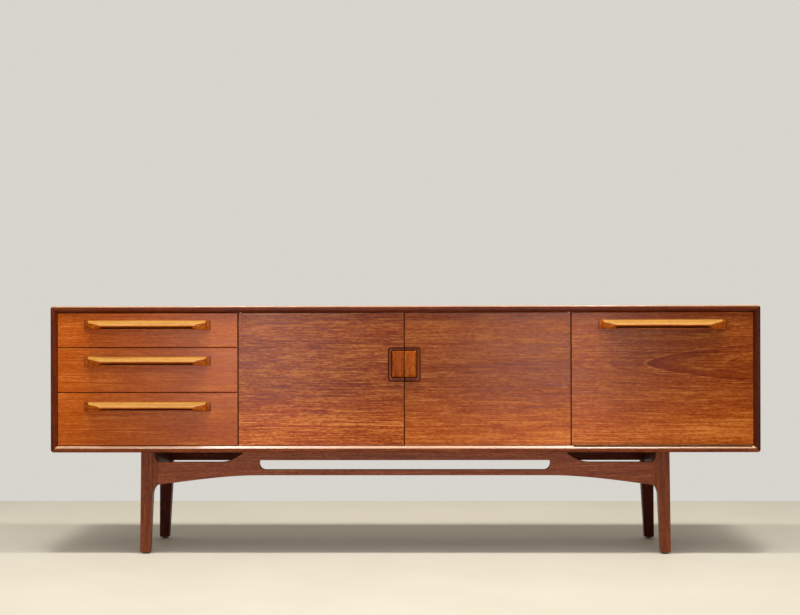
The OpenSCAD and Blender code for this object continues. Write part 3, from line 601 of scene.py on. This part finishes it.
WANDER = 0.012  # how far the fibres drift
DASH_RANGE = (0.54, 0.66)
DASH_GAIN = 0.2
DASH_MEAN = 0.05
PORE_RANGE = (0.62, 0.74)
PORE_STRENGTH = 0.5
PORE_COLOUR = (0.42, 0.3, 0.25, 1)
STREAK_RANGE = (0.3, 0.7)
GLOSS_VARIATION = (-0.04, 0.06)
GRAIN_BUMP = 0.25
GRAIN_DEPTH_MM = 0.12

# Heights between which the painted light and shade of a front's upper part changes, and where
# the painted light of its lowest strip ends
FRONT_FOOT = Z_LOW * MM
UPPER_PART = (FRONT_FOOT + 0.05, FRONT_FOOT + 0.22)
LOWEST_STRIP = (FRONT_FOOT + 0.045, FRONT_FOOT + 0.115)


def grain(g, place, axis, layer, output="Fac"):
    """Noise that is long along the grain and fine across it."""
    along, across, detail, rough = layer
    scale = tuple(along if on else across for on in AXES[axis])
    return g.noise(g.vector("MULTIPLY", place, scale), detail=detail, rough=rough,
                   output=output)


def wander(g, place, axis):
    """How far the fibres drift off their line, as a vector."""
    drift = grain(g, place, axis, DRIFT, "Color")
    drift = g.vector("SUBTRACT", drift, (0.5, 0.5, 0.5))
    return g.vector("MULTIPLY", drift, (WANDER, WANDER, WANDER))


def grain_tone(g, place, warped, axis, streaks, flecks, contrast):
    """How light the grain is, about 0.5. warped is the place with the fibres' drift."""
    layers = ((grain(g, warped, axis, BANDS), 0.5), (streaks, 1.3), (flecks, 0.9),
              (grain(g, warped, axis, FINE), 0.6), (grain(g, warped, axis, WEAVE), 0.6),
              (grain(g, warped, axis, DABS), 0.8), (grain(g, place, axis, MOTTLE), 0.2))
    dashes = g.spread(grain(g, warped, axis, DASHES), *DASH_RANGE, smooth=True)
    tone = g.math("MULTIPLY_ADD", dashes, DASH_GAIN * contrast, 0.5 - DASH_MEAN * contrast)
    for layer, weight in layers:
        tone = g.math("MULTIPLY_ADD", g.math("SUBTRACT", layer, 0.5), weight * contrast, tone)
    return tone


def front_light(g, raw, upper, paler):
    """A grey of painted light and shade that changes a front's brightness upwards and along X.
    """
    level = g.spread(g.part(raw, "Z"), *UPPER_PART, 1.0, upper, smooth=True)
    if paler:
        x0, x1, gain = paler
        gain = g.spread(g.part(raw, "X"), x0, x1, 1.0, gain, smooth=True)
        level = g.math("MULTIPLY", level, gain)
    return g.node("ShaderNodeCombineColor", {0: level, 1: level, 2: level}).outputs[0]


def wood(kind, axis, seed, contrast=1.0, figure=None, rough=0.36, ior=1.22, upper=1.0,
         paler=None, lowest=0.0):
    """Oiled wood with its grain along an axis, one material per piece. figure(g, place) adds
    growth rings, upper is the brightness of a front's upper part, paler = (x0, x1, gain)
    brightens such a front towards x1, and lowest lightens its lowest strip. upper, paler and
    lowest are painted light and shade."""
    g = Graph(f"{kind}_{seed}")
    raw = g.place()
    place = g.vector("ADD", raw, tuple(seed * step for step in SEED_STEP))
    drift = wander(g, place, axis)
    warped = g.vector("ADD", place, drift)
    streaks = grain(g, warped, axis, STREAKS)
    flecks = grain(g, warped, axis, FLECKS)
    pore = g.spread(grain(g, warped, axis, PORES), *PORE_RANGE, smooth=True)

    tone = grain_tone(g, place, warped, axis, streaks, flecks, contrast)
    if figure:
        tone = g.math("ADD", tone, figure(g, g.vector("ADD", raw, drift)))
    if lowest:
        strip = g.spread(g.part(raw, "Z"), *LOWEST_STRIP, lowest, 0.0, smooth=True)
        tone = g.math("ADD", tone, strip)
    colour = g.ramp(tone, list(zip(TONES, WOODS[kind])))
    colour = g.multiply(g.math("MULTIPLY", pore, PORE_STRENGTH), colour, PORE_COLOUR)
    if upper != 1.0:
        colour = g.multiply(1.0, colour, front_light(g, raw, upper, paler))

    glossiest, dullest = (rough + change for change in GLOSS_VARIATION)
    g.surface(Base_Color=colour, IOR=ior,
              Roughness=g.spread(streaks, *STREAK_RANGE, glossiest, dullest))
    relief = g.math("SUBTRACT", g.math("MULTIPLY_ADD", flecks, 0.5, streaks), pore)
    g.bump(relief, GRAIN_BUMP, GRAIN_DEPTH_MM)
    return g.material


def growth_rings(g, place, axis, centre, width, length):
    """Distance from a figure's centre line, and the growth ring's place: arches that open
    towards +X, near-parabolic in the middle and straight far from it. axis runs across."""
    rise = g.math("ABSOLUTE", g.math("SUBTRACT", g.part(place, axis), centre))
    share = g.math("MULTIPLY", rise, 1 / width)
    turn = g.math("SQRT", g.math("MULTIPLY_ADD", share, share, 1.0))
    arch = g.math("MULTIPLY", g.math("SUBTRACT", turn, 1.0), length)
    return rise, g.math("SUBTRACT", g.part(place, "X"), arch)


# The flap's four arches, the third with a dark inside and a bright edge: (x, tone)
FLAP_RINGS = [(0.50, 0.50), (0.558, 0.50), (0.566, 0.36), (0.578, 0.50), (0.610, 0.53),
              (0.619, 0.33), (0.635, 0.48), (0.712, 0.50), (0.726, 0.70), (0.734, 0.26),
              (0.790, 0.36), (0.880, 0.47), (0.964, 0.50), (0.973, 0.34), (0.990, 0.50),
              (1.10, 0.50)]
FLAP_CENTRE, FLAP_WIDTH, FLAP_LENGTH = 0.577, 0.05, 0.58
# From one distance off the centre line to another, a figure fades from one strength to another
FLAP_FADE = (0.03, 0.13, 1.0, 0.12)
PLAIN_FADE = (0.03, 0.15, 1.0, 0.2)
FLAP_FINE_LINES = 0.25
FLAP_STRENGTH = 1.3


def flap_figure(g, place):
    """The flap's arches, which fade away from their centre line."""
    rise, field = growth_rings(g, place, "Z", FLAP_CENTRE, FLAP_WIDTH, FLAP_LENGTH)
    first, last = FLAP_RINGS[0][0], FLAP_RINGS[-1][0]
    stops = [((x - first) / (last - first), (tone, tone, tone)) for x, tone in FLAP_RINGS]
    arches = g.ramp(g.spread(field, first, last), stops)
    fine = g.math("SUBTRACT", g.lines(field, scale=16.0, rough=0.6), 0.5)
    lines = g.math("MULTIPLY_ADD", fine, FLAP_FINE_LINES, g.math("SUBTRACT", arches, 0.5))
    near = g.spread(rise, *FLAP_FADE, smooth=True)
    return g.math("MULTIPLY", g.math("MULTIPLY", lines, near), FLAP_STRENGTH)


def plain_figure(axis, centre, width, length, strength):
    """Arches of noise, with axis across them."""
    def figure(g, place):
        rise, field = growth_rings(g, place, axis, centre, width, length)
        fine = g.math("SUBTRACT", g.lines(field, scale=11.0, rough=0.65), 0.5)
        near = g.spread(rise, *PLAIN_FADE, smooth=True)
        return g.math("MULTIPLY", g.math("MULTIPLY", fine, near), strength)
    return figure


# ---- Metal and plastic ----

CLOUD_RANGE = (0.3, 0.7)  # the noise between which roughness changes
TARNISH_SHADE = 0.55  # how dark tarnish is, and how much rougher
TARNISH_ROUGH = 0.12
SCRATCHES = (120.0, 900.0, 900.0)
WORN_GAIN, WORN_ADD = 1.5, 0.01  # how plastic fades, and how much rougher it gets
WORN_ROUGH = 0.15


def metal(name, colour, rough):
    """Worn metal: a metallic base, fine scratches and cloudy tarnish."""
    g = Graph(name)
    place = g.place()
    cloud = g.noise(place, scale=90.0, detail=4.0, rough=0.6)
    scratches = g.noise(g.vector("MULTIPLY", place, SCRATCHES))
    tarnished = tuple(c * TARNISH_SHADE for c in colour)
    g.surface(Base_Color=g.ramp(cloud, [(0.3, tarnished), (0.6, colour)]), Metallic=1.0,
              Roughness=g.spread(cloud, *CLOUD_RANGE, rough + TARNISH_ROUGH, rough))
    g.bump(scratches, strength=0.5, depth_mm=0.02)
    return g.material


def plastic(name, colour, rough):
    """Moulded plastic with a fine grained skin."""
    g = Graph(name)
    place = g.place()
    skin = g.noise(place, scale=1800.0)
    cloud = g.noise(place, scale=60.0, detail=3.0)
    lighter = tuple(min(1.0, c * WORN_GAIN + WORN_ADD) for c in colour)
    g.surface(Base_Color=g.ramp(cloud, [(0.35, colour), (0.75, lighter)]),
              Roughness=g.spread(cloud, *CLOUD_RANGE, rough, rough + WORN_ROUGH))
    g.bump(skin, strength=0.3, depth_mm=0.05)
    return g.material


BRASS = metal("brass", (0.72, 0.49, 0.18), rough=0.28)
OLD_BRASS = metal("old_brass", (0.14, 0.065, 0.025), rough=0.5)
STEEL = metal("steel", (0.62, 0.61, 0.59), rough=0.3)
GREY = plastic("grey_plastic", (0.055, 0.047, 0.042), rough=0.5)
# Painted shade: a near-black wood laid where shade falls, in the long handles' hollows, round
# their pads and on the door grips' moat walls
SHADE = wood("shade", "X", 1, contrast=0.5, rough=0.7, ior=1.1)

# ---- The boards and fittings ----

TOP_FIGURE = plain_figure("Y", centre=0.02, width=0.07, length=1.2, strength=0.9)
LEFT_DOOR_FIGURE = plain_figure("Z", centre=0.552, width=0.06, length=0.5, strength=0.5)
# upper, paler and lowest are painted light and shade: darker upper parts on the doors and
# flap, lighter upper parts on the drawers, each front lighter towards one side, and lighter
# lowest strips
DRAWER_LOOK = {"contrast": 0.5, "ior": 1.19, "upper": 1.1, "paler": (-0.52, -0.95, 1.17)}
FRONTS = {
    "top_drawer_front": DRAWER_LOOK,
    "middle_drawer_front": DRAWER_LOOK,
    "bottom_drawer_front": DRAWER_LOOK,
    "left_door_panel": {"contrast": 1.25, "ior": 1.18, "upper": 0.66,
                        "paler": (-0.12, -0.42, 1.2), "figure": LEFT_DOOR_FIGURE},
    "right_door_panel": {"contrast": 0.85, "ior": 1.165, "upper": 0.64,
                         "paler": (0.15, 0.48, 1.13), "lowest": 0.11},
    "flap_panel": {"contrast": 0.8, "ior": 1.175, "upper": 0.68,
                   "paler": (0.72, 0.52, 1.18), "lowest": 0.09, "figure": flap_figure},
}

for node, look in FRONTS.items():
    board(node, "veneer", "X", round_edge=0.9, rough=0.2, **look)
for node in ("top_panel", "bottom_panel", "left_side_panel", "right_side_panel",
             "left_partition", "right_partition", "centre_shelf", "bar_shelf"):
    axis = "Z" if "side" in node else "Y" if "partition" in node else "X"
    figure = TOP_FIGURE if node == "top_panel" else None
    board(node, "teak", axis, rough=0.34, ior=1.25, figure=figure)
for drawer in ("top_drawer", "middle_drawer", "bottom_drawer"):
    board(drawer + "_sides", "pale", "Y", rough=0.5)
    board(drawer + "_back", "pale", "X", rough=0.5)
    board(drawer + "_bottom", "ply", "X", round_edge=0.3, rough=0.5)
board("back_panel", "ply", "X", round_edge=0.4, rough=0.55, contrast=0.6)
board("drawer_runners", "pale", "Y", round_edge=0.6, rough=0.5)

board("front_stretcher", "bright", "X", round_edge=3.0, segments=4, contrast=0.8, ior=1.2)
# Painted shade: the rear rails and legs stand in the carcass's shadow and take a near-black
# wood for it
for node, axis in (("rear_rail", "X"), ("left_end_rail", "Y"), ("right_end_rail", "Y")):
    board(node, "deep_shade", axis, round_edge=1.5, segments=4, contrast=0.8, ior=1.12)
for node in ("front_left_leg", "front_right_leg"):
    board(node, "solid", "Z", round_edge=3.5, segments=4, contrast=0.8)
for node in ("back_left_leg", "back_right_leg"):
    board(node, "deep_shade", "Z", round_edge=3.5, segments=4, contrast=0.8, ior=1.12)

for node in ("door_pivot_plates", "stay_wall_bracket", "shelf_pins",
             "left_door_pivot_leaves", "right_door_pivot_leaves",
             "stay_flap_bracket", "stay_rod", "stay_guide"):
    dress(node, BRASS, round_edge=0.15)
for node in ("flap_hinge_fixed_leaf", "flap_hinge_moving_leaf"):
    dress(node, OLD_BRASS, round_edge=0.15)
for node in ("back_panel_screws", "frame_screws", "left_door_strike", "right_door_strike",
             "flap_strike"):
    dress(node, STEEL, round_edge=0.2)
for node in ("magnetic_catches", "leg_glides"):
    dress(node, GREY)

# ---- Carved and moulded pieces ----

for node in ("top_drawer_handle", "middle_drawer_handle", "bottom_drawer_handle",
             "flap_handle"):
    long_handle(node)
door_grip("left_door_handle", -1)
door_grip("right_door_handle", 1)
flat_lip("top_lipping", True)
flat_lip("bottom_lipping", False)
upright_lip("left_lipping", False)
upright_lip("right_lipping", True)


# ---- Floor, light and camera ----

FLOOR_HALF = 7.0
FLOOR_FRONT, FLOOR_BACK = -6.3, 1.27
FLOOR_COLOURS = [(0.3, (0.55, 0.50, 0.39)), (0.7, (0.58, 0.535, 0.425))]
FLOOR_ROUGH = 0.7
WALL = (0.686, 0.658, 0.617, 1)
UNLIT = (0.07, 0.07, 0.075, 1)

# Lights: place, aim, width, depth, watts, colour, spread in degrees
WHITE = (1, 1, 1)
COOL = (0.92, 0.93, 1.0)
LIGHTS = {
    "ceiling_left": ((-0.9, -0.85, 3.3), (-0.5, -0.1, 0.4), 0.35, 0.35, 44, WHITE, 180),
    "ceiling_right": ((0.9, -0.85, 3.3), (0.5, -0.1, 0.4), 0.35, 0.35, 44, WHITE, 180),
    "ceiling_strip": ((0, -0.72, 3.3), (0, -0.1, 0.4), 3.0, 0.12, 36, WHITE, 180),
    "ceiling_soft": ((0, -2.6, 3.6), (0, -0.3, 0.4), 5.0, 3.0, 85, WHITE, 180),
    "card_left": ((-1.385, -9.0, 0.54), (-0.4, 0, 0.5), 1.06, 1.23, 22, COOL, 90),
    "card_right": ((1.116, -9.0, 0.54), (0.4, 0, 0.5), 1.06, 1.23, 22, COOL, 90),
}

CAMERA_AT = (0.0665, -4.903, 0.682)
CAMERA_TURN = (90, 0.108, 0.965)  # degrees about X, Y and Z
LENS_MM = 70.3
SENSOR_MM = 36
SHIFT_Y = 0.0261


def plain_floor():
    corners = [(-FLOOR_HALF, FLOOR_FRONT, 0), (FLOOR_HALF, FLOOR_FRONT, 0),
               (FLOOR_HALF, FLOOR_BACK, 0), (-FLOOR_HALF, FLOOR_BACK, 0)]
    mesh = bpy.data.meshes.new("floor")
    mesh.from_pydata(corners, [], [(0, 1, 2, 3)])
    floor = bpy.data.objects.new("floor", mesh)
    bpy.context.scene.collection.objects.link(floor)
    g = Graph("floor_paint")
    cloud = g.noise(g.place(), scale=3.0, detail=3.0)
    g.surface(Base_Color=g.ramp(cloud, FLOOR_COLOURS), Roughness=FLOOR_ROUGH)
    mesh.materials.append(g.material)


def area_light(name, place, aim, width, depth, watts, colour, spread):
    data = bpy.data.lights.new(name, "AREA")
    data.shape = "RECTANGLE"
    data.size = width
    data.size_y = depth
    data.energy = watts
    data.color = colour
    data.spread = math.radians(spread)
    lamp = bpy.data.objects.new(name, data)
    lamp.location = place
    lamp.rotation_euler = (Vector(aim) - Vector(place)).to_track_quat("-Z", "Y").to_euler()
    bpy.context.scene.collection.objects.link(lamp)


def studio_walls():
    """Pale behind the object and dark in front of it, but seen straight, pale all round."""
    world = bpy.data.worlds.new("studio")
    bpy.context.scene.world = world
    world.use_nodes = True
    tree = world.node_tree
    place = tree.nodes.new("ShaderNodeTexCoord")
    split = tree.nodes.new("ShaderNodeSeparateXYZ")
    span = tree.nodes.new("ShaderNodeMapRange")
    ramp = tree.nodes.new("ShaderNodeValToRGB")
    span.inputs["From Min"].default_value = -0.5
    span.inputs["From Max"].default_value = 0.5
    ramp.color_ramp.elements[0].color = UNLIT
    ramp.color_ramp.elements[1].color = WALL
    tree.links.new(place.outputs["Generated"], split.inputs[0])
    tree.links.new(split.outputs["Y"], span.inputs["Value"])
    tree.links.new(span.outputs["Result"], ramp.inputs["Fac"])
    seen = tree.nodes.new("ShaderNodeLightPath")
    wall = tree.nodes.new("ShaderNodeMix")
    wall.data_type = "RGBA"
    wall.inputs[7].default_value = WALL
    tree.links.new(seen.outputs["Is Camera Ray"], wall.inputs[0])
    tree.links.new(ramp.outputs["Color"], wall.inputs[6])
    tree.links.new(wall.outputs[2], tree.nodes["Background"].inputs["Color"])


def place_camera():
    data = bpy.data.cameras.new("camera")
    data.lens = LENS_MM
    data.sensor_width = SENSOR_MM
    data.shift_y = SHIFT_Y
    camera = bpy.data.objects.new("camera", data)
    camera.location = CAMERA_AT
    camera.rotation_euler = [math.radians(turn) for turn in CAMERA_TURN]
    bpy.context.scene.collection.objects.link(camera)
    bpy.context.scene.camera = camera
    bpy.context.scene.view_settings.view_transform = "Standard"


plain_floor()
studio_walls()
for name, row in LIGHTS.items():
    area_light(name, *row)
place_camera()
